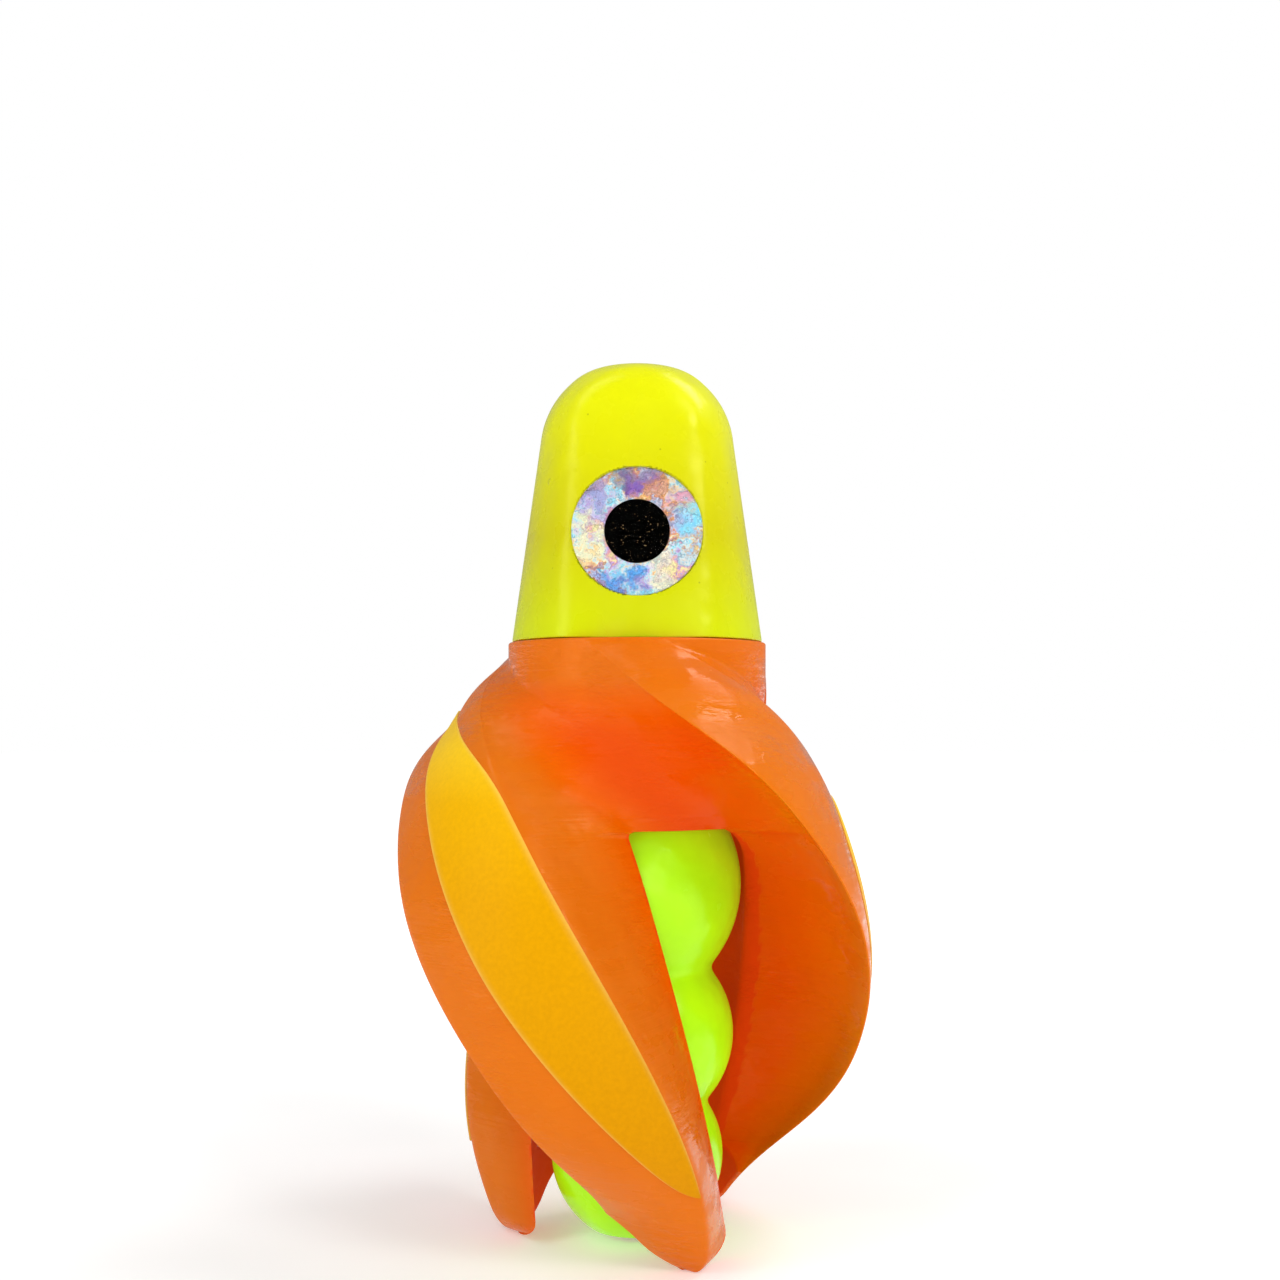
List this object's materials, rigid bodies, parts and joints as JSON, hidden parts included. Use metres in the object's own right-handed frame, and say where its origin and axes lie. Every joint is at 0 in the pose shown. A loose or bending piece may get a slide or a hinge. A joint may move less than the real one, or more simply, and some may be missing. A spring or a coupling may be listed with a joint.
{
  "type": "spinning fishing lure",
  "caption": "Trolling lure with a round-nosed head, foil eyes and a helical vaned rotor that spins on a centre tube around a lobed body.",
  "frame": {"origin": "on the axis of the centre tube, at the lower end of its bore, level with the vane tips that the lure stands on", "axes": "+Z along the centre tube towards the nose, -Y towards the front eye"},
  "size_m": [0.0447, 0.0434, 0.0833],
  "materials": {
    "yellow_resin": "glossy",
    "orange_resin": "glossy",
    "green_resin": "glossy",
    "gold_stripe": "satin film",
    "holographic_foil": "crinkled holographic foil",
    "black_print": "glossy",
    "clear_dome": "clear cast resin",
    "brass": "drawn",
    "steel": "brushed",
    "white_nylon": "matte"
  },
  "bodies": {
    "core": {"head": "yellow_resin", "nose_sleeve": "brass", "centre_tube": "brass", "tail_sleeve": "brass", "ribbed_body": "green_resin", "eye_foil_front": "holographic_foil", "eye_pupil_front": "black_print", "eye_dome_front": "clear_dome", "eye_foil_back": "holographic_foil", "eye_pupil_back": "black_print", "eye_dome_back": "clear_dome", "upper_steel_washer": "steel", "lower_steel_washer": "steel"},
    "rotor": {"rotor": "orange_resin", "vane_stripe_1": "gold_stripe", "vane_stripe_2": "gold_stripe", "vane_stripe_3": "gold_stripe", "upper_bush": "brass", "lower_bush": "brass", "upper_nylon_washer": "white_nylon", "lower_nylon_washer": "white_nylon"}
  },
  "joints": [
    {"name": "rotor_spin", "type": "hinge", "parent": "core", "child": "rotor", "pos_m": [0, 0, 0.048], "axis": [0, 0, 1], "continuous": true}
  ]
}
